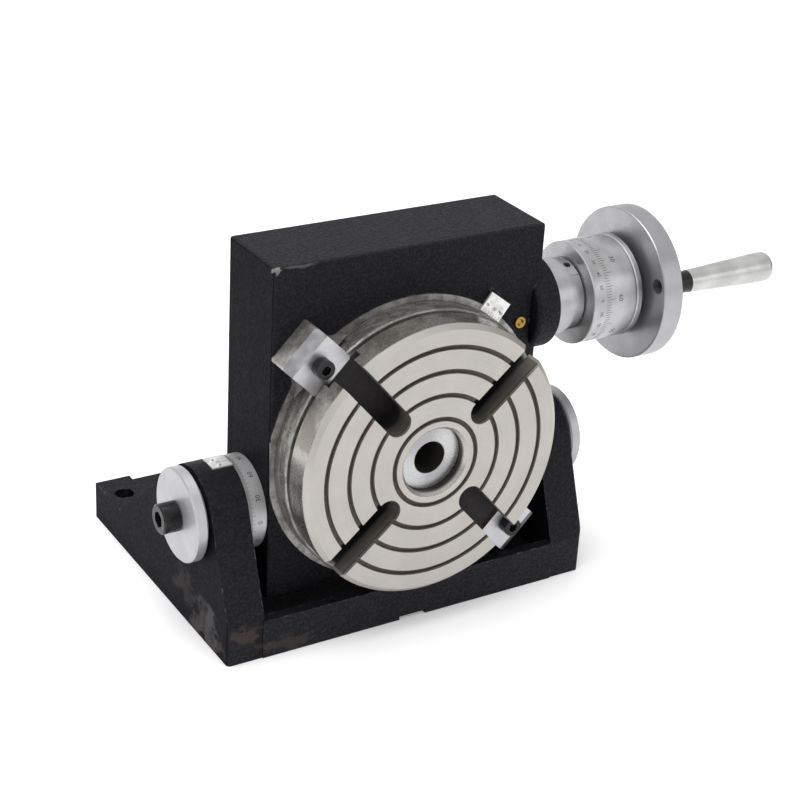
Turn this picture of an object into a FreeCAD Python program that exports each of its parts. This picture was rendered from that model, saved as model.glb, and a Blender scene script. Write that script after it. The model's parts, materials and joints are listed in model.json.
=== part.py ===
import FreeCAD, Part
import Sketcher
import math
import os
import re

# Tilting rotary table: a round T-slotted table on a worm wheel, carried by a body that
# tilts between the two brackets of its base.
# Frame, in millimetres: +Z up, +Y to the rear, the table's face looks to -Y.  The origin is
# on the bench, under the tilt axis, midway between the brackets.  The body stands upright.

doc = FreeCAD.newDocument("tilting_rotary_table")

# ---------------------------------------------------------------- driving dimensions

DIMENSIONS = {
    # base
    "base_half": 109.0,
    "bracket_wide": 20.75,
    "base_front": 44.0,
    "base_rear": 126.0,
    "wall_top": 22.0,
    "wall_wide": 5.5,
    "base_corner": 2.2,
    "tail_top": 21.75,
    "tail_start": 91.0,
    "floor_top": 12.0,
    "pivot_up": 67.5,
    "bracket_round": 25.2,
    "key_wide": 16.0,
    "key_deep": 2.0,
    "key_long": 38.0,
    "bolt_hole_bore": 5.5,
    "bolt_hole_across": 99.0,
    "bolt_hole_back": 108.0,
    # tilt axis
    "disc_round": 24.9,
    "journal_round": 15.0,
    "fit_gap": 0.05,
    "face_gap": 0.2,
    "clamp_disc_thick": 6.3,
    "clamp_disc_gap": 1.7,
    "tilt_bolt_round": 5.0,
    "tilt_bolt_head": 8.0,
    "tilt_bolt_head_long": 10.0,
    "tilt_bolt_key": 8.0,
    # tilting body
    "body_half": 78.5,
    "body_front": 25.75,
    "body_rear": 22.25,
    "body_bottom": 21.5,
    "body_top": 205.0,
    "body_edge": 1.5,
    "pad_high": 0.75,
    "pad_round": 79.5,
    "wheel_room": 47.5,
    "wheel_room_front": 15.0,
    # round table, about the axis x = 0, z = table_up
    "table_up": 98.75,
    "table_face": 56.5,
    "table_round": 75.0,
    "table_edge": 2.6,
    "flange_thick": 15.8,
    "groove_wide": 2.5,
    "groove_round": 71.5,
    "scale_round": 76.0,
    "scale_rear": 26.8,
    "hub_round": 28.0,
    "stem_round": 20.0,
    "stem_rear": 19.0,
    "thread_round": 17.5,
    "thread_rear": 27.0,
    "recess_round": 18.0,
    "recess_deep": 6.0,
    "recess_edge": 1.6,
    "taper_front_round": 8.89,
    "taper_rear_round": 6.85,
    "slot_neck": 14.0,
    "slot_head": 22.6,
    "slot_head_thick": 7.1,
    "slot_edge": 0.5,
    "slot_inner": 35.0,
    "slot_turn": 41.3,
    "ring_groove_wide": 2.6,
    "ring_groove_deep": 2.0,
    # worm gear, module 1, ninety teeth on the wheel, one start on the worm
    "gear_teeth": 90.0,
    "gear_module": 1.0,
    "wheel_thick": 14.0,
    "wheel_front": 14.5,
    "worm_pitch_round": 10.5,
    "worm_back": -7.5,
    "worm_half": 16.0,
    "journal_thin": 7.0,
    "journal_thick": 8.0,
    # eccentric sleeve that lifts the worm out of mesh
    "lift": 1.273,
    "sleeve_round": 15.0,
    "sleeve_bore": 11.8,
    "sleeve_left": -38.0,
    "boss_round": 25.3,
    "boss_start": 73.0,
    "boss_end": 89.0,
    "flange_round": 20.7,
    "flange_end": 100.2,
    "nose_round": 14.5,
    "index_start": 100.6,
    "index_end": 107.6,
    "index_round": 19.7,
    # dial and handwheel
    "dial_start": 108.2,
    "dial_end": 136.0,
    "dial_round": 28.0,
    "lock_ring_end": 139.8,
    "wheel_hub_round": 12.0,
    "rim_start": 143.6,
    "rim_end": 156.2,
    "rim_round": 42.0,
    "crank_front": 34.3,
    "crank_up": 10.7,
    "grip_start": 163.0,
    "grip_end": 219.0,
    "grip_thin": 6.1,
    "grip_thick": 8.1,
    # table clamps
    "clamp_turn": 135.7,
    "clamp_half": 13.2,
    "clamp_toe": 72.6,
    "clamp_ridge": 92.0,
    "clamp_heel": 98.0,
    "lug_inner": 77.2,
    "lug_blend": 6.5,
    "clamp_front": 40.4,
    "clamp_back": 36.4,
    "toe_back": 38.4,
    "clamp_screw_out": 83.5,
    # scale plates and oiler
    "vernier_turn": 52.7,
    "vernier_inner": 76.4,
    "vernier_tall": 11.0,
    "vernier_half": 7.4,
    "plate_thick": 1.0,
    "oiler_across": 66.8,
    "oiler_up": 151.9,
}

sheet = doc.addObject("Spreadsheet::Sheet", "dims")
for row, (alias, value) in enumerate(DIMENSIONS.items(), start=1):
    sheet.set(f"A{row}", alias)
    sheet.set(f"B{row}", str(value))
    sheet.setAlias(f"B{row}", alias)
doc.recompute()

FUNCTION_WORDS = {"sin", "cos", "tan", "sqrt", "atan"}
ALONG = {
    "X": FreeCAD.Rotation(FreeCAD.Vector(0, 1, 0), 90),
    "Y": FreeCAD.Rotation(FreeCAD.Vector(1, 0, 0), -90),
    "Z": FreeCAD.Rotation(),
}


def size(alias):
    """The number that a cell of the sheet holds."""
    return float(sheet.get(alias))


def bound(text):
    """An expression on the sheet's cells, written with their bare names."""
    word = re.compile(r"[a-z][a-z_]*[a-z]")

    def named(found):
        return found.group() if found.group() in FUNCTION_WORDS else "dims." + found.group()

    return word.sub(named, str(text))


# ---------------------------------------------------------------- ways of making solids


def place(shape, at, rotation=None):
    """Puts an object's own origin at a point whose three coordinates are expressions."""
    if rotation is not None:
        shape.Placement = FreeCAD.Placement(FreeCAD.Vector(), rotation)
    for axis, text in zip("xyz", at):
        shape.setExpression(f"Placement.Base.{axis}", bound(text))
    return shape


def cylinder(radius, length, at, along="Y", name="turned"):
    shape = doc.addObject("Part::Cylinder", name)
    shape.setExpression("Radius", bound(radius))
    shape.setExpression("Height", bound(length))
    return place(shape, at, ALONG[along])


def cone(start_radius, end_radius, length, at, along="Y", name="taper"):
    shape = doc.addObject("Part::Cone", name)
    shape.setExpression("Radius1", bound(start_radius))
    shape.setExpression("Radius2", bound(end_radius))
    shape.setExpression("Height", bound(length))
    return place(shape, at, ALONG[along])


def box(sizes, at, name="block"):
    shape = doc.addObject("Part::Box", name)
    for side, text in zip(("Length", "Width", "Height"), sizes):
        shape.setExpression(side, bound(text))
    return place(shape, at)


def hexagon(across_flats, length, at, along="Y", name="hexagon"):
    shape = doc.addObject("Part::Prism", name)
    shape.Polygon = 6
    shape.setExpression("Circumradius", bound(f"({across_flats}) / sqrt(3)"))
    shape.setExpression("Height", bound(length))
    return place(shape, at, ALONG[along])


def fuse(parts, name="joined"):
    if len(parts) == 1:
        return parts[0]
    shape = doc.addObject("Part::MultiFuse", name)
    shape.Shapes = parts
    shape.Refine = True
    return shape


def cut(base, tools, name="machined"):
    shape = doc.addObject("Part::Cut", name)
    shape.Base = base
    shape.Tool = fuse(tools, "cutters")
    shape.Refine = True
    return shape


def common(base, other, name="trimmed"):
    shape = doc.addObject("Part::Common", name)
    shape.Base = base
    shape.Tool = other
    return shape


def group(parts, name):
    """Separate equal solids, such as the screws of one joint, in one node."""
    shape = doc.addObject("Part::Compound", name)
    shape.Links = parts
    return shape


def bevel(kind, base, amount, wanted):
    """A Part::Fillet or Part::Chamfer on the edges that a test of each edge picks out."""
    doc.recompute()
    picked = [n for n, edge in enumerate(base.Shape.Edges, start=1) if wanted(edge)]
    if not picked:
        raise ValueError("no edge picked on " + base.Name)
    shape = doc.addObject("Part::" + kind, kind.lower())
    shape.Base = base
    shape.Edges = [(n, amount, amount) for n in picked]
    return shape


def across(edge, axis, alias, sign=1):
    """Whether an edge lies square across an axis at the place that a cell gives."""
    reach = edge.BoundBox
    low, high = {"X": (reach.XMin, reach.XMax), "Y": (reach.YMin, reach.YMax)}[axis]
    return high - low < 0.01 and abs(low - sign * size(alias)) < 0.05


def turned(angle, shape):
    """Turns an object about the round table's axis, counter-clockwise as the face is seen."""
    shape = group([shape], "turned_piece")
    shape.Placement = FreeCAD.Placement(FreeCAD.Vector(), FreeCAD.Rotation(FreeCAD.Vector(0, -1, 0), 1))
    shape.setExpression("Placement.Rotation.Angle", bound(angle))
    shape.setExpression("Placement.Base.x", bound(f"table_up * sin({angle})"))
    shape.setExpression("Placement.Base.z", bound(f"table_up * (1 - cos({angle}))"))
    return shape


subparts = {}


def subpart(name, shape):
    """Registers a finished piece: its label is the name of its file."""
    shape.Label = name
    subparts[name] = shape
    return shape


# ---------------------------------------------------------------- base

INDEX_RIVETS = [("0 - 96.6", "3.4"), ("0 - 95.0", "0 - 2.4")]


def bracket(side):
    """One side bracket, drawn as a sketch across the tilt axis: side is -1 or +1."""

    body = doc.addObject("PartDesign::Body", "bracket")
    sketch = body.newObject("Sketcher::SketchObject", "bracket_outline")
    plane = next(f for f in body.Origin.OriginFeatures if f.Role == "YZ_Plane")
    sketch.AttachmentSupport = [(plane, "")]
    sketch.MapMode = "FlatFace"
    centre = FreeCAD.Vector(0, size("pivot_up"), 0)
    radius = size("bracket_round")
    corners = {
        "front_low": (-size("base_front"), 0.0),
        "front_high": (-size("base_front"), size("wall_top")),
        "tail_high": (size("tail_start"), size("tail_top")),
        "rear_high": (size("base_rear"), size("tail_top")),
        "rear_low": (size("base_rear"), 0.0),
    }
    points = {name: FreeCAD.Vector(y, z, 0) for name, (y, z) in corners.items()}

    def touch(point, side_sign):
        """Where the line from a corner touches the round top."""
        away = point - centre
        angle = math.atan2(away.y, away.x) + side_sign * math.acos(radius / away.Length)
        return centre + FreeCAD.Vector(math.cos(angle), math.sin(angle), 0) * radius, angle

    front_touch, front_angle = touch(points["front_high"], -1)
    rear_touch, rear_angle = touch(points["tail_high"], 1)
    lines = [
        (points["front_low"], points["front_high"]),
        (points["front_high"], front_touch),
        (rear_touch, points["tail_high"]),
        (points["tail_high"], points["rear_high"]),
        (points["rear_high"], points["rear_low"]),
        (points["rear_low"], points["front_low"]),
    ]
    for start, end in lines:
        sketch.addGeometry(Part.LineSegment(start, end), False)
    circle = Part.Circle(centre, FreeCAD.Vector(0, 0, 1), radius)
    arc = sketch.addGeometry(Part.ArcOfCircle(circle, rear_angle, front_angle + 2 * math.pi), False)
    if front_angle > rear_angle:
        sketch.delGeometry(arc)
        arc = sketch.addGeometry(Part.ArcOfCircle(circle, rear_angle, front_angle), False)
    add = sketch.addConstraint
    add(Sketcher.Constraint("Coincident", 0, 2, 1, 1))
    add(Sketcher.Constraint("Tangent", 1, 2, arc, 2))
    add(Sketcher.Constraint("Tangent", arc, 1, 2, 1))
    for first in (2, 3, 4):
        add(Sketcher.Constraint("Coincident", first, 2, first + 1, 1))
    add(Sketcher.Constraint("Coincident", 5, 2, 0, 1))
    add(Sketcher.Constraint("PointOnObject", arc, 3, -2))
    measured = [
        ("DistanceX", 0, 1, -size("base_front"), "0 - base_front"),
        ("DistanceY", 0, 1, 0.0, None),
        ("DistanceX", 0, 2, -size("base_front"), "0 - base_front"),
        ("DistanceY", 0, 2, size("wall_top"), "wall_top"),
        ("DistanceX", 2, 2, size("tail_start"), "tail_start"),
        ("DistanceY", 2, 2, size("tail_top"), "tail_top"),
        ("DistanceX", 3, 2, size("base_rear"), "base_rear"),
        ("DistanceY", 3, 2, size("tail_top"), "tail_top"),
        ("DistanceX", 4, 2, size("base_rear"), "base_rear"),
        ("DistanceY", 4, 2, 0.0, None),
        ("DistanceY", arc, 3, size("pivot_up"), "pivot_up"),
    ]
    for kind, line, end, value, text in measured:
        index = add(Sketcher.Constraint(kind, -1, 1, line, end, value))
        if text:
            sketch.setExpression(f"Constraints[{index}]", bound(text))
    index = add(Sketcher.Constraint("Radius", arc, radius))
    sketch.setExpression(f"Constraints[{index}]", bound("bracket_round"))
    doc.recompute()
    pad = body.newObject("PartDesign::Pad", "bracket_casting")
    pad.Profile = sketch
    pad.setExpression("Length", bound("bracket_wide"))
    start = "0 - base_half" if side < 0 else "base_half - bracket_wide"
    body.setExpression("Placement.Base.x", bound(start))

    def front_outer_corner(edge):
        reach = edge.BoundBox
        upright = reach.XLength < 0.01 and reach.YLength < 0.01
        return upright and reach.YMin < 1 - size("base_front") and abs(reach.XMin) > size("base_half") - 1

    return bevel("Fillet", body, size("base_corner"), front_outer_corner)


def base_casting():
    inner = "(base_half - bracket_wide)"
    span = f"2 * {inner} + 2"
    left = f"0 - {inner} - 1"
    floor = box((span, "base_front + base_rear - 4", "floor_top"), (left, "1 - base_front", "0"), "floor")
    wall = box((span, "wall_wide", "wall_top"), (left, "0 - base_front - 0.6", "0"), "front_wall")
    rear = box((span, "base_rear - 48", "tail_top - 1"), (left, "45", "0"), "rear_plate")
    solid = fuse([bracket(-1), bracket(1), floor, wall, rear], "base_blank")
    start = ("0 - base_half - 1", "0", "pivot_up")
    cutters = [cylinder("journal_round + fit_gap", "2 * base_half + 2", start, "X", "pivot_bore")]
    for start in ("0 - base_front - 1", "base_rear - key_long"):
        keyway = ("key_wide", "key_long + 1", "key_deep")
        cutters.append(box(keyway, ("0 - key_wide / 2", start, "0"), "keyway"))
    for side in ("0 - bolt_hole_across", "bolt_hole_across"):
        cutters.append(cylinder("bolt_hole_bore", "tail_top + 2", (side, "bolt_hole_back", "0 - 1"), "Z"))
    seat = ("11.5", "12", "10")
    across = "0 - base_half + bracket_wide - 11.5"
    cutters.append(box(seat, (across, "0 - 5.2", "pivot_up + bracket_round - 0.8"), "index_plate_seat"))
    for x, y in INDEX_RIVETS:
        rivet_foot = (x, y, "pivot_up + bracket_round - 5.8")
        cutters.append(cylinder("0.8", "6", rivet_foot, "Z", "rivet_hole"))
    return subpart("base_casting", cut(solid, cutters, "base"))


def tilt_index_plate():
    top = "pivot_up + bracket_round - 0.8"
    plate = box(("11.2", "11.6", "plate_thick"), ("0 - base_half + bracket_wide - 11.3", "0 - 5", top))
    holes = [cylinder("0.8", "3", (x, y, f"{top} - 1"), "Z") for x, y in INDEX_RIVETS]
    subpart("tilt_index_plate", cut(plate, holes, "index_plate"))
    rivets = []
    for x, y in INDEX_RIVETS:
        head = cone("1.5", "0.9", "0.7", (x, y, f"{top} + plate_thick"), "Z", "rivet_head")
        pin = cylinder("0.8", "5", (x, y, f"{top} + plate_thick - 4.99"), "Z", "rivet_pin")
        rivets.append(fuse([head, pin], "rivet"))
    subpart("tilt_index_plate_rivets", group(rivets, "index_plate_rivets"))


# ---------------------------------------------------------------- tilting body

WORM_UP = "(table_up + gear_module * gear_teeth / 2 + worm_pitch_round)"
SLEEVE_UP = f"({WORM_UP} + lift)"
SLEEVE_BACK = "(worm_back + lift)"
CLAMP_TURNS = {"upper": "clamp_turn", "lower": "(clamp_turn + 180)"}
COVER_SCREWS = 6
TRUNNION_SCREWS = 4
TRUNNION_SCREW_RING = "19.8"
LOCK_SCREW_ACROSS = "58"


def cover_screw_places():
    turn = 360 / COVER_SCREWS
    return [(f"53 * cos({n * turn})", f"table_up + 53 * sin({n * turn})") for n in range(COVER_SCREWS)]


def trunnion_screw_places():
    turn = 360 / TRUNNION_SCREWS
    places = []
    for n in range(TRUNNION_SCREWS):
        angle = n * turn + 45
        y = f"{TRUNNION_SCREW_RING} * cos({angle})"
        places.append((y, f"pivot_up + {TRUNNION_SCREW_RING} * sin({angle})"))
    return places


def clamp_lug(turn):
    """The post on the body's front that a table clamp stands on, blended into the raised pad."""
    deep = "clamp_back - body_front + 2"
    post = ("clamp_heel - lug_inner", deep, "2 * clamp_half")
    lug = box(post, ("lug_inner", "0 - clamp_back", "table_up - clamp_half"), "clamp_lug")
    lug = bevel("Fillet", lug, 2.0, lambda e: e.BoundBox.XLength < 0.01 and e.BoundBox.ZLength < 0.01)
    low = "(table_up - clamp_half - lug_blend)"
    wide = ("lug_blend + 1", f"{deep} - 5", "2 * (clamp_half + lug_blend)")
    blend = box(wide, ("lug_inner - 1", "5 - clamp_back", low), "lug_blend")
    hollows = []
    for height in (low, "(table_up + clamp_half + lug_blend)"):
        at = ("lug_inner + lug_blend", "0 - clamp_back", height)
        hollows.append(cylinder("lug_blend", deep, at, "Y", "blend_hollow"))
    return turned(turn, fuse([lug, cut(blend, hollows, "blend")], "lug"))


def rotary_body():
    deep = "body_front + body_rear"
    sizes = ("2 * body_half", deep, "body_top - body_bottom")
    block = box(sizes, ("0 - body_half", "0 - body_front", "body_bottom"), "body_block")
    block = bevel("Fillet", block, size("body_edge"), lambda edge: True)
    boss = worm_cylinder("boss_round", "boss_start", "boss_end", "worm_boss")
    boss = bevel("Fillet", boss, 4.0, lambda edge: across(edge, "X", "boss_start"))
    boss = bevel("Fillet", boss, 2.0, lambda edge: across(edge, "X", "boss_end"))
    raised_front = "0 - body_front - pad_high"
    pad = cylinder("pad_round", "pad_high + 1", ("0", raised_front, "table_up"), "Y", "machined_pad")
    seat = ("12.5", "pad_high + 1", "2 * vernier_half + 1.6")
    plate_pad = box(seat, ("vernier_inner", raised_front, "table_up - vernier_half - 0.8"), "plate_pad")
    plate_pad = turned("vernier_turn", plate_pad)
    lugs = [clamp_lug(turn) for turn in CLAMP_TURNS.values()]
    sides = ("2 * (body_half - 0.2)", "80", "body_top - body_bottom - 0.4")
    envelope = box(sides, ("0.2 - body_half", "0 - 60", "body_bottom + 0.2"), "sides")
    raised = common(fuse([pad, plate_pad] + lugs, "raised_blank"), envelope, "raised_parts")
    solid = fuse([block, boss, raised], "body_blank")
    room = f"{deep} + 2"
    sleeve_start = ("sleeve_left - 0.5", SLEEVE_BACK, SLEEVE_UP)
    cutters = [
        cylinder("scale_round + 0.7", "40", ("0", f"{raised_front} - 40", "table_up"), "Y", "table_space"),
        cylinder("wheel_room", room, ("0", "0 - wheel_room_front", "table_up"), "Y", "wheel_room"),
        cylinder("32", room, ("0", "0 - body_front - 1", "table_up"), "Y", "front_bush_bore"),
        cylinder("58.2", "7", ("0", "body_rear - 6", "table_up"), "Y", "cover_seat"),
        cylinder("sleeve_round + fit_gap", "140", sleeve_start, "X", "sleeve_bore"),
        cylinder("3 + fit_gap", "30", (LOCK_SCREW_ACROSS, SLEEVE_BACK, SLEEVE_UP), "Y", "lock_thread"),
        cylinder("2", "12", ("oiler_across", "0 - body_front - 1", "oiler_up"), "Y", "oil_hole"),
    ]
    for turn in CLAMP_TURNS.values():
        at = ("clamp_screw_out", "0 - clamp_back - 1", "table_up")
        cutters.append(turned(turn, cylinder("3 + fit_gap", "26", at, "Y", "clamp_thread")))
    for x, z in cover_screw_places():
        cutters.append(cylinder("2.5", "9", (x, "body_rear - 14.5", z), "Y", "cover_thread"))
    for side, start in ((-1, "0 - body_half - 1"), (1, "body_half - 13")):
        for y, z in trunnion_screw_places():
            cutters.append(cylinder("2.5", "14", (start, y, z), "X", "trunnion_thread"))
        spigot = "0 - body_half - 1" if side < 0 else "body_half - 4"
        cutters.append(cylinder("12", "5", (spigot, "0", "pivot_up"), "X", "spigot_seat"))
    for x, z in vernier_rivet_places():
        cutters.append(cylinder("0.8", "6", (x, "0 - body_front - 2", z), "Y", "rivet_hole"))
    return subpart("rotary_body", cut(solid, cutters, "body_casting"))


def vernier_rivet_places():
    middle = "(vernier_inner + vernier_tall / 2)"
    places = []
    for sign in (-1, 1):
        side = f"({sign} * 4.7)"
        x = f"{middle} * cos(vernier_turn) - {side} * sin(vernier_turn)"
        z = f"table_up + {middle} * sin(vernier_turn) + {side} * cos(vernier_turn)"
        places.append((x, z))
    return places


def body_fittings():
    front = "0 - body_front - pad_high - plate_thick"
    plate_size = ("vernier_tall", "plate_thick", "2 * vernier_half")
    plate = box(plate_size, ("vernier_inner", front, "table_up - vernier_half"), "plate")
    plate = turned("vernier_turn", plate)
    holes = [cylinder("0.8", "4", (x, f"{front} - 1", z), "Y") for x, z in vernier_rivet_places()]
    subpart("vernier_plate", cut(plate, holes, "vernier"))
    rivets = []
    for x, z in vernier_rivet_places():
        head = cone("0.9", "1.5", "0.7", (x, f"{front} - 0.7", z), "Y", "rivet_head")
        pin = cylinder("0.8", "5", (x, f"{front} - 0.01", z), "Y", "rivet_pin")
        rivets.append(fuse([head, pin], "rivet"))
    subpart("vernier_plate_rivets", group(rivets, "vernier_rivets"))

    stem = cylinder("2", "3.6", ("oiler_across", "0 - body_front", "oiler_up"), "Y", "oiler_stem")
    rim = cylinder("3.1", "1.2", ("oiler_across", "0 - body_front - 1.2", "oiler_up"), "Y", "oiler_rim")
    cup = cone("1.9", "1.1", "1.0", ("oiler_across", "0 - body_front - 1.2", "oiler_up"), "Y", "oiler_cup")
    subpart("ball_oiler", cut(fuse([stem, rim], "oiler_blank"), [cup], "oiler"))

    bush = cylinder("32", "body_front - wheel_room_front", ("0", "0 - body_front", "table_up"), "Y", "bush")
    bore = cylinder("hub_round + fit_gap", "20", ("0", "0 - body_front - 1", "table_up"), "Y")
    subpart("table_front_bush", cut(bush, [bore], "front_bush"))

    flange = cylinder("58", "6", ("0", "body_rear - 6", "table_up"), "Y", "cover_flange")
    spigot = cylinder("wheel_room - 0.1", "body_rear - 12.5", ("0", "6.5", "table_up"), "Y", "cover_spigot")
    nose = cylinder("wheel_room - 4", "body_rear - 9", ("0", "3", "table_up"), "Y", "cover_nose")
    recess = cylinder("29.5", "20", ("0", "10", "table_up"), "Y", "bearing_recess")
    bore = cylinder("24", "40", ("0", "0", "table_up"), "Y", "cover_bore")
    holes = [cylinder("2.7", "12", (x, "body_rear - 8", z), "Y") for x, z in cover_screw_places()]
    sinks = [cylinder("4.6", "6", (x, "body_rear - 2.5", z), "Y") for x, z in cover_screw_places()]
    blank = fuse([flange, spigot, nose], "cover_blank")
    subpart("rear_cover", cut(blank, [recess, bore] + holes + sinks, "cover"))
    screws = []
    for x, z in cover_screw_places():
        head = cylinder("4.25", "5", (x, "body_rear - 2.5", z), "Y", "screw_head")
        shank = cylinder("2.5", "11", (x, "body_rear - 13.4", z), "Y", "screw_shank")
        key = hexagon("4", "2.7", (x, "body_rear - 0.1", z), "Y")
        screws.append(cut(fuse([head, shank], "screw"), [key], "cover_screw"))
    subpart("rear_cover_screws", group(screws, "cover_screws"))

    bush = cylinder("24", "7", ("0", "3", "table_up"), "Y", "bush")
    bore = cylinder("stem_round + fit_gap", "12", ("0", "1", "table_up"), "Y")
    subpart("table_rear_bush", cut(bush, [bore], "rear_bush"))
    washer = cylinder("28.8", "2.5", ("0", "10", "table_up"), "Y", "washer")
    bore = cylinder("20.6", "6", ("0", "8", "table_up"), "Y")
    subpart("thrust_bearing_housing_washer", cut(washer, [bore], "housing_washer"))

    screw = cylinder("3", "11", (LOCK_SCREW_ACROSS, f"{SLEEVE_BACK} + sleeve_round + 0.25", SLEEVE_UP), "Y")
    key = hexagon("3", "4", (LOCK_SCREW_ACROSS, f"{SLEEVE_BACK} + sleeve_round + 7.3", SLEEVE_UP), "Y")
    subpart("sleeve_lock_screw", cut(screw, [key], "lock_screw"))


def trunnion(side):
    """One half of the tilt axis: disc and journal in one, its clamp disc, bolt and screws."""
    name = {-1: "left", 1: "right"}[side]

    def along(start, length):
        """Left end of a stretch that begins `start` from the middle and runs outwards."""
        return f"0 - ({start}) - ({length})" if side < 0 else f"({start})"

    def axial(radius, start, length, label):
        """A cylinder on the tilt axis that begins `start` from the middle and runs outwards."""
        return cylinder(radius, length, (along(start, length), "0", "pivot_up"), "X", label)

    disc_thick = "base_half - bracket_wide - face_gap - body_half"
    disc = axial("disc_round", "body_half", disc_thick, "disc")
    journal_long = "bracket_wide + face_gap + 1"
    journal_start = "base_half - bracket_wide - face_gap - 1"
    journal_long = f"({journal_long} - 0.3)"
    journal = axial("journal_round", journal_start, journal_long, "journal")
    spigot = axial("12", "body_half - 3.9", "4", "spigot")
    holes = [axial("tilt_bolt_round + fit_gap", "base_half - 27.5", "40", "bolt_thread")]
    for y, z in trunnion_screw_places():
        holes.append(cylinder("2.7", "7", (along("body_half - 1", "7"), y, z), "X"))
        holes.append(cylinder("4.5", "5.4", (along(f"body_half + {disc_thick} - 5.3", "5.4"), y, z), "X"))
    blank = fuse([disc, journal, spigot], "trunnion_blank")
    label = "tilt_scale_trunnion" if side < 0 else "plain_trunnion"
    subpart(label, cut(blank, holes, "trunnion"))
    screws = []
    for y, z in trunnion_screw_places():
        seat = f"body_half + {disc_thick} - 5.3"
        head = cylinder("4.25", "5", (along(seat, "5"), y, z), "X", "screw_head")
        shank = cylinder("2.5", "15", (along(f"{seat} - 14.9", "15"), y, z), "X", "screw_shank")
        key = hexagon("4", "2.6", (along(f"{seat} + 2.5", "2.6"), y, z), "X")
        screws.append(cut(fuse([head, shank], "screw"), [key], "trunnion_screw"))
    subpart(f"{name}_trunnion_screws", group(screws, "trunnion_screws"))

    inner = "base_half + clamp_disc_gap"
    plate = axial("disc_round", inner, "clamp_disc_thick", "plate")
    plate = bevel("Chamfer", plate, 0.8, lambda edge: edge.BoundBox.XLength < 0.01)
    step = axial("21", "base_half + face_gap", "clamp_disc_gap - face_gap", "step")
    hole = axial("tilt_bolt_round + 0.4", "base_half - 2", "20", "bolt_hole")
    subpart(f"{name}_clamp_disc", cut(fuse([plate, step], "clamp_blank"), [hole], "clamp_disc"))

    seat = f"{inner} + clamp_disc_thick"
    head = axial("tilt_bolt_head", seat, "tilt_bolt_head_long", "bolt_head")
    head = bevel("Chamfer", head, 0.7, lambda edge: edge.BoundBox.XLength < 0.01)
    shank = axial("tilt_bolt_round", f"{seat} - 32.9", "33", "bolt_shank")
    socket = along(f"{seat} + tilt_bolt_head_long - 5", "6")
    key = hexagon("tilt_bolt_key", "6", (socket, "0", "pivot_up"), "X")
    subpart(f"{name}_tilt_clamp_bolt", cut(fuse([head, shank], "bolt"), [key], "clamp_bolt"))


# ---------------------------------------------------------------- round table and worm wheel

RING_GROOVES = ("63", "50", "37", "24")


def slot_tool(turn):
    """One T-slot, open at the rim, rounded where it ends towards the centre."""
    front = "0 - table_face"
    deep = "flange_thick + groove_wide"
    head_front = f"{front} + {deep} - slot_head_thick"
    long = "table_round - slot_inner + 12"
    neck_size = (long, f"{deep} + 1", "slot_neck")
    neck = box(neck_size, ("slot_inner", f"{front} - 1", "table_up - slot_neck / 2"), "neck")
    end_at = ("slot_inner", f"{front} - 1", "table_up")
    end = cylinder("slot_neck / 2", f"{deep} + 1", end_at, "Y", "neck_end")
    head_inner = "slot_inner + slot_head / 2 - slot_neck / 2 + 2"
    head_size = (long, "slot_head_thick", "slot_head")
    head = box(head_size, (head_inner, head_front, "table_up - slot_head / 2"), "head")
    head_end_at = (head_inner, head_front, "table_up")
    head_end = cylinder("slot_head / 2", "slot_head_thick", head_end_at, "Y", "head_end")
    edge_start = f"{front} - slot_edge"
    edge = doc.addObject("Part::Wedge", "slot_edge")
    half, cut_back = size("slot_neck") / 2, size("slot_edge")
    edge.Xmin = edge.X2min = 0
    edge.Xmax = edge.X2max = size("table_round") - size("slot_inner") + 12
    edge.Ymin = 0
    edge.Ymax = 2 * cut_back
    edge.Zmax = half + cut_back
    edge.Zmin = -half - cut_back
    edge.Z2max = half - cut_back
    edge.Z2min = cut_back - half
    place(edge, ("slot_inner", edge_start, "table_up"))
    wide = cone("slot_neck / 2 + slot_edge", "slot_neck / 2 - slot_edge", "2 * slot_edge",
                ("slot_inner", edge_start, "table_up"), "Y", "slot_end_edge")
    return turned(turn, fuse([neck, end, head, head_end, edge, wide], "slot_tool"))


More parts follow.
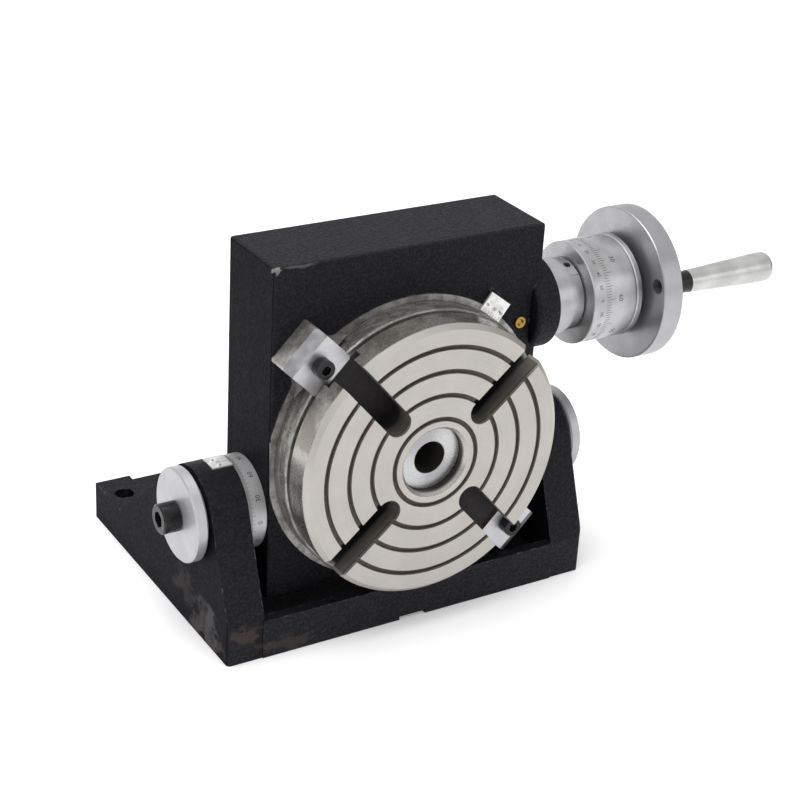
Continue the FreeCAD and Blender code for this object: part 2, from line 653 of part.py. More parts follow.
def table_top():
    axis = ("0", "0 - table_face", "table_up")
    flange = cylinder("table_round", "flange_thick", axis, "Y", "flange")
    flange = bevel("Chamfer", flange, size("table_edge"), lambda edge: across(edge, "Y", "table_face", -1))
    neck_start = "0 - table_face + flange_thick"
    neck = cylinder("groove_round", "groove_wide", ("0", neck_start, "table_up"), "Y", "clamp_groove")
    ring_front = "0 - table_face + flange_thick + groove_wide"
    ring_deep = "table_face - flange_thick - groove_wide - scale_rear"
    ring = cylinder("scale_round", ring_deep, ("0", ring_front, "table_up"), "Y", "scale_ring")

    def ring_front_edge(edge):
        reach = edge.BoundBox
        return reach.YLength < 0.01 and reach.YMax < -size("scale_rear") - 1

    ring = bevel("Chamfer", ring, 0.8, ring_front_edge)
    hub = cylinder("hub_round", "scale_rear - wheel_front", ("0", "0 - scale_rear", "table_up"), "Y", "hub")
    stem_at = ("0", "0 - wheel_front", "table_up")
    stem = cylinder("stem_round", "wheel_front + stem_rear", stem_at, "Y", "stem")
    thread_at = ("0", "stem_rear", "table_up")
    thread = cylinder("thread_round", "thread_rear - stem_rear", thread_at, "Y", "thread")
    solid = fuse([flange, neck, ring, hub, stem, thread], "table_blank")
    floor_front = "0 - table_face + recess_deep"
    cutters = [
        cylinder("recess_round", "recess_deep + 1", ("0", "0 - table_face - 1", "table_up"), "Y", "recess"),
        cone("recess_round + recess_edge", "recess_round", "recess_edge", axis, "Y", "recess_edge"),
        cone("taper_front_round", "taper_rear_round", "table_face - recess_deep + thread_rear",
             ("0", floor_front, "table_up"), "Y", "taper_bore"),
    ]
    for radius in RING_GROOVES:
        outer = cylinder(f"{radius} + ring_groove_wide / 2", "ring_groove_deep", axis, "Y", "groove_outer")
        inner = cylinder(f"{radius} - ring_groove_wide / 2", "ring_groove_deep + 2",
                         ("0", "0 - table_face - 1", "table_up"), "Y", "groove_inner")
        cutters.append(cut(outer, [inner], "ring_groove"))
    for n in range(4):
        cutters.append(slot_tool(f"(slot_turn + {90 * n})"))
    for x, z in wheel_screw_places():
        cutters.append(cylinder("1.5", "12", (x, "0 - wheel_front - 10", z), "Y", "wheel_thread"))
    return subpart("table_top", cut(solid, cutters, "table"))


def wheel_screw_places():
    return [(f"24 * cos({90 * n})", f"table_up + 24 * sin({90 * n})") for n in range(4)]


def worm_wheel():
    """Ninety straight-sided teeth, skewed by the worm's lead angle and cut round a bronze rim."""
    teeth = int(size("gear_teeth"))
    module = size("gear_module")
    pitch_radius = module * teeth / 2
    skew = math.degrees(module / (2 * size("worm_pitch_round")) * size("wheel_thick") / pitch_radius)
    slope = math.tan(math.radians(20))
    tip, root = pitch_radius + module, pitch_radius - 1.3 * module
    half_pitch = 0.23 * math.pi * module

    def outline(depth, turn):
        """The tooth outline at one side of the wheel, a gap at the top when turn is zero."""
        points = []
        for n in range(teeth):
            middle = 90 + 360 / teeth * (n + 0.5) - turn
            tooth = ((root, -1), (tip, -1), (tip, 1), (root, 1))
            for radius, side in tooth:
                half = half_pitch - (radius - pitch_radius) * slope
                angle = math.radians(middle + side * math.degrees(half / radius))
                points.append(FreeCAD.Vector(radius * math.cos(angle), depth, radius * math.sin(angle)))
        return Part.makePolygon(points + points[:1])

    thick = size("wheel_thick")
    rim = Part.makeLoft([outline(0, -skew / 2), outline(thick, skew / 2)], True, True)
    disc = doc.addObject("Part::Feature", "toothed_rim")
    disc.Shape = rim
    disc.Placement = FreeCAD.Placement(FreeCAD.Vector(0, 0, 0), FreeCAD.Rotation())
    disc.setExpression("Placement.Base.y", bound("0 - wheel_front"))
    disc.setExpression("Placement.Base.z", bound("table_up"))
    bore = cylinder("stem_round", "40", ("0", "0 - 20", "table_up"), "Y")
    holes = [cylinder("1.6", "40", (x, "0 - 20", z), "Y") for x, z in wheel_screw_places()]
    seat = "wheel_thick - wheel_front - 3.2"
    sinks = [cylinder("3", "4", (x, seat, z), "Y") for x, z in wheel_screw_places()]
    subpart("worm_wheel", cut(disc, [bore] + holes + sinks, "wheel"))
    screws = []
    for x, z in wheel_screw_places():
        head = cylinder("2.75", "3", (x, seat, z), "Y", "screw_head")
        shank = cylinder("1.5", "18", (x, "wheel_thick - wheel_front - 21.1", z), "Y", "screw_shank")
        screws.append(fuse([head, shank], "wheel_screw"))
    subpart("worm_wheel_screws", group(screws, "wheel_screws"))


def table_bearing():
    cage = cylinder("27.6", "1.6", ("0", "13.7", "table_up"), "Y", "cage")
    holes = [cylinder("21.4", "6", ("0", "11", "table_up"), "Y")]
    balls = []
    count = 16
    for n in range(count):
        at = (f"24.5 * cos({360 / count * n})", "14.5", f"table_up + 24.5 * sin({360 / count * n})")
        ball = doc.addObject("Part::Sphere", "ball")
        ball.Radius = 1.95
        balls.append(place(ball, at))
        holes.append(cylinder("2.05", "6", (at[0], "11", at[2]), "Y"))
    subpart("thrust_bearing_balls", group(balls, "balls"))
    subpart("thrust_bearing_cage", cut(cage, holes, "cage_ring"))
    washer = cylinder("28.8", "2.4", ("0", "16.5", "table_up"), "Y", "washer")
    bore = cylinder("stem_round", "6", ("0", "15", "table_up"), "Y", "washer_bore")
    subpart("thrust_bearing_shaft_washer", cut(washer, [bore], "shaft_washer"))
    nut = cylinder("27", "thread_rear - stem_rear", ("0", "stem_rear", "table_up"), "Y", "nut")
    nut = bevel("Chamfer", nut, 1.0, lambda edge: edge.BoundBox.YLength < 0.01)
    holes = [cylinder("thread_round", "20", ("0", "stem_rear - 5", "table_up"), "Y")]
    for n in range(4):
        notch = box(("6", "20", "5"), ("24.4", "stem_rear - 5", "table_up - 2.5"), "spanner_notch")
        holes.append(turned(f"{90 * n + 45}", notch))
    grub = ("0", "stem_rear + 4", "table_up + thread_round - 1")
    holes.append(cylinder("2", "12", grub, "Z"))
    subpart("spindle_nut", cut(nut, holes, "locknut"))
    screw = cylinder("2", "8", ("0", "stem_rear + 4", "table_up + thread_round"), "Z")
    key = hexagon("2", "3", ("0", "stem_rear + 4", "table_up + thread_round + 5.1"), "Z")
    subpart("spindle_nut_set_screw", cut(screw, [key], "nut_set_screw"))


# ---------------------------------------------------------------- worm, sleeve, dial, handwheel


def worm_cylinder(radius, start, end, name="turned"):
    return cylinder(radius, f"({end}) - ({start})", (start, "worm_back", WORM_UP), "X", name)


def eccentric_sleeve():
    left_end = ("sleeve_left", SLEEVE_BACK, SLEEVE_UP)
    outside = cylinder("sleeve_round", "flange_end - 10 - sleeve_left", left_end, "X", "outside")
    flange = worm_cylinder("flange_round", "boss_end + 0.3", "flange_end", "flange")
    nose = worm_cylinder("nose_round", "flange_end - 1", "index_end", "nose")
    bore = worm_cylinder("sleeve_bore", "sleeve_left - 1", "index_end + 1", "bore")
    window = cylinder("sleeve_round + 2", "41", ("0 - 20.5", SLEEVE_BACK, SLEEVE_UP), "X", "mesh_window")
    window.Angle = 164
    down_to_back = FreeCAD.Rotation(FreeCAD.Vector(1, 0, 0), -42)
    window.Placement = FreeCAD.Placement(FreeCAD.Vector(), down_to_back.multiply(ALONG["X"]))
    place(window, ("0 - 20.5", SLEEVE_BACK, SLEEVE_UP))
    subpart("eccentric_sleeve", cut(fuse([outside, flange, nose], "sleeve_blank"), [bore, window], "sleeve"))

    bushes = {
        "worm_left_bush": ("journal_thin", "sleeve_left + 1", "0 - worm_half - 1"),
        "worm_middle_bush": ("journal_thick", "worm_half + 1", "40"),
        "worm_outer_bush": ("journal_thick", "80", "index_end"),
    }
    for name, (radius, start, end) in bushes.items():
        outer = worm_cylinder("sleeve_bore", start, end, "bush")
        inner = worm_cylinder(f"{radius} + fit_gap", f"({start}) - 1", f"({end}) + 1", "bush_bore")
        subpart(name, cut(outer, [inner], "worm_bush"))

    ring = worm_cylinder("index_round", "index_start", "index_end", "index_ring")
    ring = bevel("Chamfer", ring, 0.4, lambda edge: edge.BoundBox.XLength < 0.01)
    hole = worm_cylinder("nose_round", "index_start - 1", "index_end + 1", "index_bore")
    screw_at = ("(index_start + index_end) / 2", "worm_back", WORM_UP)
    thread = cylinder("2", "12", screw_at, "Z", "set_screw_hole")
    lean = FreeCAD.Rotation(FreeCAD.Vector(1, 0, 0), 16)

    def lean_out(shape, start):
        """Turns a radial piece of the index ring 16 degrees forward of the top."""
        shape.Placement = FreeCAD.Placement(FreeCAD.Vector(), lean)
        back = f"worm_back - ({start}) * sin(16)"
        up = f"{WORM_UP} + ({start}) * cos(16)"
        return place(shape, (screw_at[0], back, up))

    lean_out(thread, "12")
    subpart("index_ring", cut(ring, [hole, thread], "ring"))
    screw = lean_out(cylinder("2", "4.6", screw_at, "Z", "set_screw"), "nose_round")
    key = lean_out(hexagon("2", "2.5", screw_at, "Z"), "nose_round + 2.7")
    subpart("index_ring_set_screw", cut(screw, [key], "ring_set_screw"))


def worm_shaft():
    """The one-start right-hand worm and its journals, turned from one bar."""
    module = size("gear_module")
    pitch = math.pi * module
    half = size("worm_half")
    tip = size("worm_pitch_round") + module
    root = size("worm_pitch_round") - 1.3 * module
    slope = math.tan(math.radians(20))
    half_pitch = 0.175 * math.pi * module
    turns = 2 * (int((half - 2) / pitch))
    length = turns * pitch
    spine = Part.makeHelix(pitch, length, root, 0)
    inner = root - 0.4

    def width(radius):
        return half_pitch - (radius - size("worm_pitch_round")) * slope

    flank = [(inner, -width(inner)), (tip, -width(tip)), (tip, width(tip)), (inner, width(inner))]
    points = [FreeCAD.Vector(radius, 0, along) for radius, along in flank]
    profile = Part.makePolygon(points + points[:1])
    thread = Part.Wire(spine).makePipeShell([profile], True, True)
    if thread.Volume < 0:
        thread.reverse()
    ridge = doc.addObject("Part::Feature", "worm_thread")
    ridge.Shape = thread
    ridge.Placement = FreeCAD.Placement(FreeCAD.Vector(), ALONG["X"])
    # the helix starts on its own +X side, which this placement turns to the bottom of the worm,
    # so a whole number of turns each way puts a thread at the bottom of the middle
    place(ridge, (f"0 - {length / 2}", "worm_back", WORM_UP))
    cells = ("worm_pitch_round - 1.3 * gear_module", "0 - worm_half", "worm_half")
    solids = [
        ridge,
        worm_cylinder(*cells, "worm_core"),
        worm_cylinder("journal_thin", "sleeve_left + 2", "0 - worm_half + 1", "left_journal"),
        worm_cylinder("journal_thick", "worm_half - 1", "dial_start", "right_journal"),
        worm_cylinder("journal_thin", "dial_start - 1", "rim_end - 4", "handwheel_seat"),
        worm_cylinder("5", "rim_end - 5", "rim_end + 7", "nut_thread"),
    ]
    keyway = box(("10.8", "4", "4"), ("rim_start - 2", "worm_back - 2", f"{WORM_UP} + 4.6"), "keyway")
    subpart("worm_shaft", cut(fuse(solids, "shaft_blank"), [keyway], "shaft"))


def handwheel_group():
    rim = worm_cylinder("rim_round", "rim_start", "rim_end", "rim")
    rim = bevel("Fillet", rim, 0.9, lambda edge: edge.BoundBox.XLength < 0.01)
    hub = worm_cylinder("wheel_hub_round", "dial_start + 0.3", "rim_start + 1", "handwheel_hub")
    recess = worm_cylinder("33", "rim_end - 4", "rim_end + 1", "recess")
    bore = worm_cylinder("journal_thin", "dial_start - 1", "rim_end + 1", "bore")
    keyway = box(("16", "4", "4"), ("rim_start - 2", "worm_back - 2", f"{WORM_UP} + 4.6"), "keyway")
    crank_at = ("worm_back - crank_front", f"{WORM_UP} + crank_up")
    crank = cylinder("4", "30", ("rim_start - 5", *crank_at), "X", "crank_hole")
    subpart("handwheel", cut(fuse([rim, hub], "handwheel_blank"), [recess, bore, keyway, crank], "wheel"))
    key = box(("9.4", "4", "4"), ("rim_start - 1", "worm_back - 2", f"{WORM_UP} + 4.6"), "key")
    subpart("handwheel_key", key)
    washer = worm_cylinder("10", "rim_end - 4", "rim_end - 2.4", "washer")
    hole = worm_cylinder("5.2", "rim_end - 6", "rim_end", "washer_hole")
    subpart("handwheel_washer", cut(washer, [hole], "plain_washer"))
    nut = hexagon("17", "7", ("rim_end - 2.4", "worm_back", WORM_UP), "X", "nut")
    hole = worm_cylinder("5", "rim_end - 6", "rim_end + 8", "nut_hole")
    subpart("handwheel_nut", cut(nut, [hole], "hexagon_nut"))

    stud = [
        cylinder("4", "9.5", ("rim_end - 9.2", *crank_at), "X", "stud_thread"),
        cylinder("5.9", "6.2", ("rim_end", *crank_at), "X", "stud_collar"),
        cylinder("4", "grip_end - grip_start - 8", ("grip_start - 1", *crank_at), "X", "stud_pin"),
    ]
    ring_at = "grip_end - 16"
    groove = cylinder("6", "1.3", (ring_at, *crank_at), "X", "groove_outer")
    core = cylinder("3.2", "3", (f"{ring_at} - 1", *crank_at), "X", "groove_core")
    subpart("handle_stud", cut(fuse(stud, "stud_blank"), [cut(groove, [core], "ring_groove")], "stud"))
    ring = cylinder("5.2", "1.1", (f"{ring_at} + 0.1", *crank_at), "X", "ring")
    hole = cylinder("3.2", "3", (f"{ring_at} - 1", *crank_at), "X", "ring_hole")
    subpart("handle_snap_ring", cut(ring, [hole], "snap_ring"))

    taper_long = "grip_end - grip_start - 9"
    taper = cone("grip_thin", "grip_thick", taper_long, ("grip_start", *crank_at), "X", "grip_taper")
    end = cylinder("grip_thick", "9", ("grip_end - 9", *crank_at), "X", "grip_end")
    end = bevel("Fillet", end, 3.5, lambda edge: across(edge, "X", "grip_end"))
    hole = cylinder("4.1", "grip_end - grip_start - 6", ("grip_start - 1", *crank_at), "X", "grip_bore")
    room = cylinder("5.6", "2.3", (f"{ring_at} - 0.5", *crank_at), "X", "ring_room")
    subpart("handle_grip", cut(fuse([taper, end], "grip_blank"), [hole, room], "grip"))

    drum = worm_cylinder("dial_round", "dial_start", "dial_end", "drum")
    drum = bevel("Chamfer", drum, 0.5, lambda edge: edge.BoundBox.XLength < 0.01)
    hole = worm_cylinder("wheel_hub_round + fit_gap", "dial_start - 1", "dial_end + 1", "drum_bore")
    subpart("graduated_dial", cut(drum, [hole], "dial"))
    ring = worm_cylinder("dial_round + 0.3", "dial_end + face_gap", "lock_ring_end", "lock_ring")
    ring = bevel("Chamfer", ring, 0.6, lambda edge: edge.BoundBox.XLength < 0.01)
    hole = worm_cylinder("wheel_hub_round + fit_gap", "dial_end - 1", "lock_ring_end + 1", "lock_ring_thread")
    subpart("dial_lock_ring", cut(ring, [hole], "dial_ring"))


# ---------------------------------------------------------------- table clamps


def table_clamp(name, turn):
    """A clamp plate whose toe reaches into the table's groove, and its screw."""
    half = "clamp_half"
    low = f"table_up - {half}"
    heel_size = ("clamp_heel - lug_inner", "clamp_front - clamp_back", f"2 * {half}")
    heel = box(heel_size, ("lug_inner", "0 - clamp_front", low), "heel")
    toe_size = ("lug_inner - clamp_toe + 1", "clamp_front - toe_back", f"2 * {half}")
    toe = box(toe_size, ("clamp_toe", "0 - clamp_front", low), "toe")
    plate = fuse([heel, toe], "clamp_blank")
    plate = bevel("Fillet", plate, 2.0, lambda e: e.BoundBox.XLength < 0.01 and e.BoundBox.ZLength < 0.01)
    fall = size("clamp_front") - size("clamp_back") - 0.5
    lean = math.degrees(math.atan2(fall, size("clamp_heel") - size("clamp_ridge")))
    wedge = box(("20", "12", f"2 * {half} + 2"), ("0", "0", "0"), "slope_cutter")
    wedge.Placement = FreeCAD.Placement(FreeCAD.Vector(), FreeCAD.Rotation(FreeCAD.Vector(0, 0, 1), lean))
    place(wedge, (f"clamp_ridge + 12 * sin({lean})", f"0 - clamp_front - 12 * cos({lean})", f"{low} - 1"))
    hole = cylinder("3.3", "10", ("clamp_screw_out", "0 - clamp_front - 1", "table_up"), "Y", "screw_hole")
    subpart(f"{name}_clamp_plate", turned(turn, cut(plate, [wedge, hole], "clamp_plate")))
    head = cylinder("5", "6", ("clamp_screw_out", "0 - clamp_front - 6.1", "table_up"), "Y", "screw_head")

    def outer_edge(edge):
        reach = edge.BoundBox
        return reach.YLength < 0.01 and reach.YMax < -size("clamp_front") - 3

    head = bevel("Chamfer", head, 0.4, outer_edge)
    shank = cylinder("3", "22", ("clamp_screw_out", "0 - clamp_front - 0.2", "table_up"), "Y", "screw_shank")
    key = hexagon("5", "3.2", ("clamp_screw_out", "0 - clamp_front - 6.2", "table_up"), "Y")
    subpart(f"{name}_clamp_screw", turned(turn, cut(fuse([head, shank], "screw"), [key], "clamp_screw")))


# ---------------------------------------------------------------- building and writing

base_casting()
tilt_index_plate()
rotary_body()
body_fittings()
trunnion(-1)
trunnion(1)
table_top()
worm_wheel()
table_bearing()
eccentric_sleeve()
worm_shaft()
handwheel_group()
for clamp_name, clamp_angle in CLAMP_TURNS.items():
    table_clamp(clamp_name, clamp_angle)

doc.recompute()
for thing in doc.Objects:
    if "Invalid" in thing.State or "Error" in thing.State:
        raise ValueError(f"{thing.Name} ({thing.Label}) did not build: {thing.State}")
for name, piece in subparts.items():
    if piece.Shape.isNull() or not piece.Shape.isValid():
        raise ValueError(f"{name} is not a valid shape")

os.makedirs("parts", exist_ok=True)
for name, piece in subparts.items():
    piece.Shape.exportStep(f"parts/{name}.step")
    box_of = piece.Shape.BoundBox
    solids = len(piece.Shape.Solids)
    print(f"{name:32s} {solids:3d} solids  {piece.Shape.Volume / 1000:9.2f} cm3  "
          f"x {box_of.XMin:7.2f} {box_of.XMax:7.2f}  y {box_of.YMin:7.2f} {box_of.YMax:7.2f}  "
          f"z {box_of.ZMin:7.2f} {box_of.ZMax:7.2f}")
print(len(subparts), "sub-parts")
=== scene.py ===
"""Looks of the tilting rotary table: materials, engraved scales, light and camera round the CAD model."""

import json
import math

import bpy
from mathutils import Matrix, Vector


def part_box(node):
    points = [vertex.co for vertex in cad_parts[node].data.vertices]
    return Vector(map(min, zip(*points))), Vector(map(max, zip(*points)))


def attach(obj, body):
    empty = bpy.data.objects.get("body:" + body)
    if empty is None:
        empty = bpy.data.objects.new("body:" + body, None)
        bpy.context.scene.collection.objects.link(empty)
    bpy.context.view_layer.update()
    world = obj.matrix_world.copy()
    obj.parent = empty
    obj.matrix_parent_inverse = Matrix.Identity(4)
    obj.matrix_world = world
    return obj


MM = 0.001
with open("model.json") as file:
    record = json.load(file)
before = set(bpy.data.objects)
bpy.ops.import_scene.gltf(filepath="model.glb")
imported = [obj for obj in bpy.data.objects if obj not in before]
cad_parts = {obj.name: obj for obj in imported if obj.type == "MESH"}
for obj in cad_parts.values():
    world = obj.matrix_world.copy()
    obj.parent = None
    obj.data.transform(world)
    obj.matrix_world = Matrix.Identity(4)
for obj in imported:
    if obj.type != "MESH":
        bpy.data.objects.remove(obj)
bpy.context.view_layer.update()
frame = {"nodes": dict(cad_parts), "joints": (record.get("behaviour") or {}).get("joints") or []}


# ---------------------------------------------------------------- places taken from the frame


def joint_point(name):
    """The point a joint turns about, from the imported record."""
    return Vector(next(j["pos_m"] for j in frame["joints"] if j["name"] == name))


TABLE_AXIS = joint_point("table_spin")
TILT_AXIS = joint_point("head_tilt")
WORM_AXIS = joint_point("handwheel_spin")
CRANK_AXIS = joint_point("grip_spin")
FACE_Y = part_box("table_top")[0].y
BODY_LOW, BODY_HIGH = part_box("rotary_body")
BASE_LOW, BASE_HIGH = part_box("base_casting")


# ---------------------------------------------------------------- material graphs


class Graph:
    """A material's node tree, written as expressions."""

    def __init__(self, name):
        self.material = bpy.data.materials.new(name)
        self.material.use_nodes = True
        self.nodes = self.material.node_tree.nodes
        self.links = self.material.node_tree.links
        self.nodes.clear()
        self.output = self.nodes.new("ShaderNodeOutputMaterial")

    def add(self, kind, values=(), **settings):
        node = self.nodes.new("ShaderNode" + kind)
        for key, value in settings.items():
            setattr(node, key, value)
        for key, value in dict(values).items():
            self.feed(node.inputs[key], value)
        return node

    def feed(self, socket, value):
        if isinstance(value, bpy.types.NodeSocket):
            self.links.new(value, socket)
        else:
            socket.default_value = value

    def math(self, operation, first, second=0.0, clamp=False):
        node = self.add("Math", {0: first, 1: second}, operation=operation, use_clamp=clamp)
        return node.outputs[0]

    def vector(self, x, y, z):
        return self.add("CombineXYZ", {"X": x, "Y": y, "Z": z}).outputs[0]

    def position(self):
        """The object's own coordinates, in metres, as three sockets after the vector."""
        here = self.add("TexCoord").outputs["Object"]
        split = self.add("SeparateXYZ", {0: here})
        return here, split.outputs[0], split.outputs[1], split.outputs[2]

    def noise(self, vector, size, detail=3.0, rough=0.5, kind="Fac"):
        values = {"Vector": vector, "Scale": 1.0 / size, "Detail": detail, "Roughness": rough}
        return self.add("TexNoise", values).outputs[kind]

    def ramp(self, value, low, high, start=0.0, end=1.0):
        """Maps low..high smoothly onto start..end."""
        values = {"Value": value, "From Min": low, "From Max": high, "To Min": start, "To Max": end}
        return self.add("MapRange", values, interpolation_type="SMOOTHSTEP").outputs[0]

    def mix(self, share, first, second):
        """Blends two colours."""
        node = self.add("Mix", data_type="RGBA")
        self.feed(node.inputs["Factor"], share)
        for socket, value in zip((node.inputs[6], node.inputs[7]), (first, second)):
            self.feed(socket, (*value, 1.0) if isinstance(value, tuple) else value)
        return node.outputs[2]

    def bump(self, height, distance, strength=1.0, below=None):
        values = {"Height": height, "Distance": distance, "Strength": strength}
        if below is not None:
            values["Normal"] = below
        return self.add("Bump", values).outputs[0]

    def finish(self, color, rough, metal=0.0, normal=None, specular=0.5, **more):
        shader = self.add("BsdfPrincipled")
        wanted = {"Base Color": color, "Roughness": rough, "Metallic": metal}
        wanted["Specular IOR Level"] = specular
        if normal is not None:
            wanted["Normal"] = normal
        wanted.update(more)
        for key, value in wanted.items():
            if isinstance(value, tuple):
                value = (*value, 1.0)
            self.feed(shader.inputs[key], value)
        self.links.new(shader.outputs[0], self.output.inputs["Surface"])
        return self.material

    def turned_coordinates(self, axis, centre):
        """Distance from an axis, angle about it and place along it: what a lathe's marks follow."""
        _, x, y, z = self.position()
        offset = {n: self.math("SUBTRACT", v, c) for n, v, c in zip("xyz", (x, y, z), centre)}
        first, second = [offset[n] for n in "xyz" if n != axis]
        squares = [self.math("MULTIPLY", leg, leg) for leg in (first, second)]
        radius = self.math("SQRT", self.math("ADD", *squares))
        angle = self.math("ARCTAN2", second, first)
        return radius, angle, offset[axis]

    def edge_turn(self, radius, samples):
        """1 on flat ground, less where an outer or inner edge lies within `radius`."""
        bevel = self.add("Bevel", {"Radius": radius}, samples=samples).outputs[0]
        normal = self.add("NewGeometry").outputs["Normal"]
        return self.add("VectorMath", {0: bevel, 1: normal}, operation="DOT_PRODUCT").outputs["Value"]


def brushed(name, color, rough, axis, centre, grain=0.25 * MM, depth=0.01 * MM, stain=0.10, metal=0.85):
    """Satin metal with the fine marks of turning about one axis."""
    g = Graph(name)
    here = g.position()[0]
    radius, angle, along = g.turned_coordinates(axis, centre)
    marks = g.noise(g.vector(radius, g.math("MULTIPLY", angle, grain * 1.5), along), grain, 2.0)
    cloud = g.noise(here, 12 * MM, 4.0)
    speck = g.noise(here, 0.9 * MM, 2.0)
    darker = tuple(c * (1 - stain * 2.2) for c in color)
    shade = g.mix(g.ramp(cloud, 0.35, 0.7), darker, color)
    shade = g.mix(g.ramp(marks, 0.3, 0.7, 0.0, 0.25), shade, tuple(c * 0.76 for c in color))
    roughness = g.math("ADD", rough, g.ramp(speck, 0.3, 0.8, -0.05, 0.10))
    normal = g.bump(marks, depth)
    return g.finish(shade, roughness, metal, normal)


def crinkle_paint(name, color, marks=()):
    """Black crinkle paint on a casting: coarse on the fronts with painted highlight flecks, smoother on the
    sides, lighter on top, worn on edges.
    """
    g = Graph(name)
    here, x, y, z = g.position()
    facing = g.add("SeparateXYZ", {0: g.add("TexCoord").outputs["Normal"]})
    side = g.ramp(g.math("ABSOLUTE", facing.outputs[0]), 0.6, 0.9)
    top = g.ramp(facing.outputs[2], 0.6, 0.9)
    grain = g.noise(here, 1.5 * MM, 4.0, 0.68)
    fine = g.noise(here, 0.45 * MM, 2.0, 0.5)
    cloud = g.noise(here, 30 * MM, 4.0, 0.55)
    crumb_size = 2.1 * MM
    crumbs = g.add("TexVoronoi", {"Vector": here, "Scale": 1 / crumb_size}).outputs["Distance"]
    smooth_share = g.math("MULTIPLY", side, 0.86)
    lively = g.math("SUBTRACT", 1.0, g.math("MAXIMUM", smooth_share, g.math("MULTIPLY", top, 0.55)))
    height = g.math("ADD", grain, g.math("MULTIPLY", fine, 0.35))
    height = g.math("MULTIPLY", height, lively)
    # Painted highlights: light flecks on the crinkle grain of the front faces stand in for glints off the
    # texture.
    fleck_highlight = g.ramp(g.math("ADD", grain, g.math("MULTIPLY", crumbs, -0.10)), 0.38, 0.58)
    shade = g.mix(cloud, tuple(c * 0.7 for c in color), tuple(c * 1.35 for c in color))
    fleck_highlight = g.math("MULTIPLY", g.math("MULTIPLY", fleck_highlight, lively), 0.6)
    shade = g.mix(fleck_highlight, shade, tuple(c * 4.4 for c in color))
    # Up-facing faces are made lighter, patchily, in streaks drawn out along x.
    top_lighter_tone = tuple(c * 2.6 for c in color)
    top_streak_noise = g.noise(g.vector(g.math("MULTIPLY", x, 0.25), y, z), 1.2 * MM, 3.0, 0.7)
    top_lightening = g.math("MULTIPLY", top, g.ramp(top_streak_noise, 0.42, 0.72, 0.1, 0.75))
    shade = g.mix(top_lightening, shade, top_lighter_tone)
    turn = g.edge_turn(1.2 * MM, 6)
    worn = g.math("MULTIPLY", g.ramp(turn, 0.999, 0.93), g.ramp(g.noise(here, 4 * MM, 4.0, 0.7), 0.5, 0.62))
    shade = g.mix(g.math("MULTIPLY", worn, 0.55), shade, (0.16, 0.15, 0.14))
    rough = g.ramp(grain, 0.3, 0.7, 0.62, 0.46)
    for centre, size, tint, share in marks:
        away = g.add("VectorMath", {0: here, 1: Vector(centre)}, operation="SUBTRACT").outputs[0]
        shrink = Vector([1 / s for s in size])
        scaled = g.add("VectorMath", {0: away, 1: shrink}, operation="MULTIPLY").outputs[0]
        reach = g.add("VectorMath", {0: scaled}, operation="LENGTH").outputs["Value"]
        ragged = g.math("ADD", reach, g.ramp(g.noise(scaled, 0.8, 4.0, 0.55), 0.3, 0.7, -0.5, 0.5))
        shade = g.mix(g.ramp(ragged, 1.0, 0.55, 0.0, share), shade, tint)
    drawn_out = g.vector(x, g.math("MULTIPLY", y, 0.9), g.math("MULTIPLY", z, 0.12))
    streak = g.noise(drawn_out, 4 * MM, 4.0, 0.65)
    streak = g.math("MULTIPLY", side, g.ramp(streak, 0.45, 0.75, 0.0, 0.6))
    shade = g.mix(streak, shade, tuple(c * 1.9 for c in color))
    normal = g.bump(height, 1.1 * MM, 1.0)
    shine = g.math("ADD", g.ramp(lively, 0.1, 0.9, 0.03, 0.17), g.math("MULTIPLY", top, 0.03))
    return g.finish(shade, rough, 0.0, normal, specular=shine)


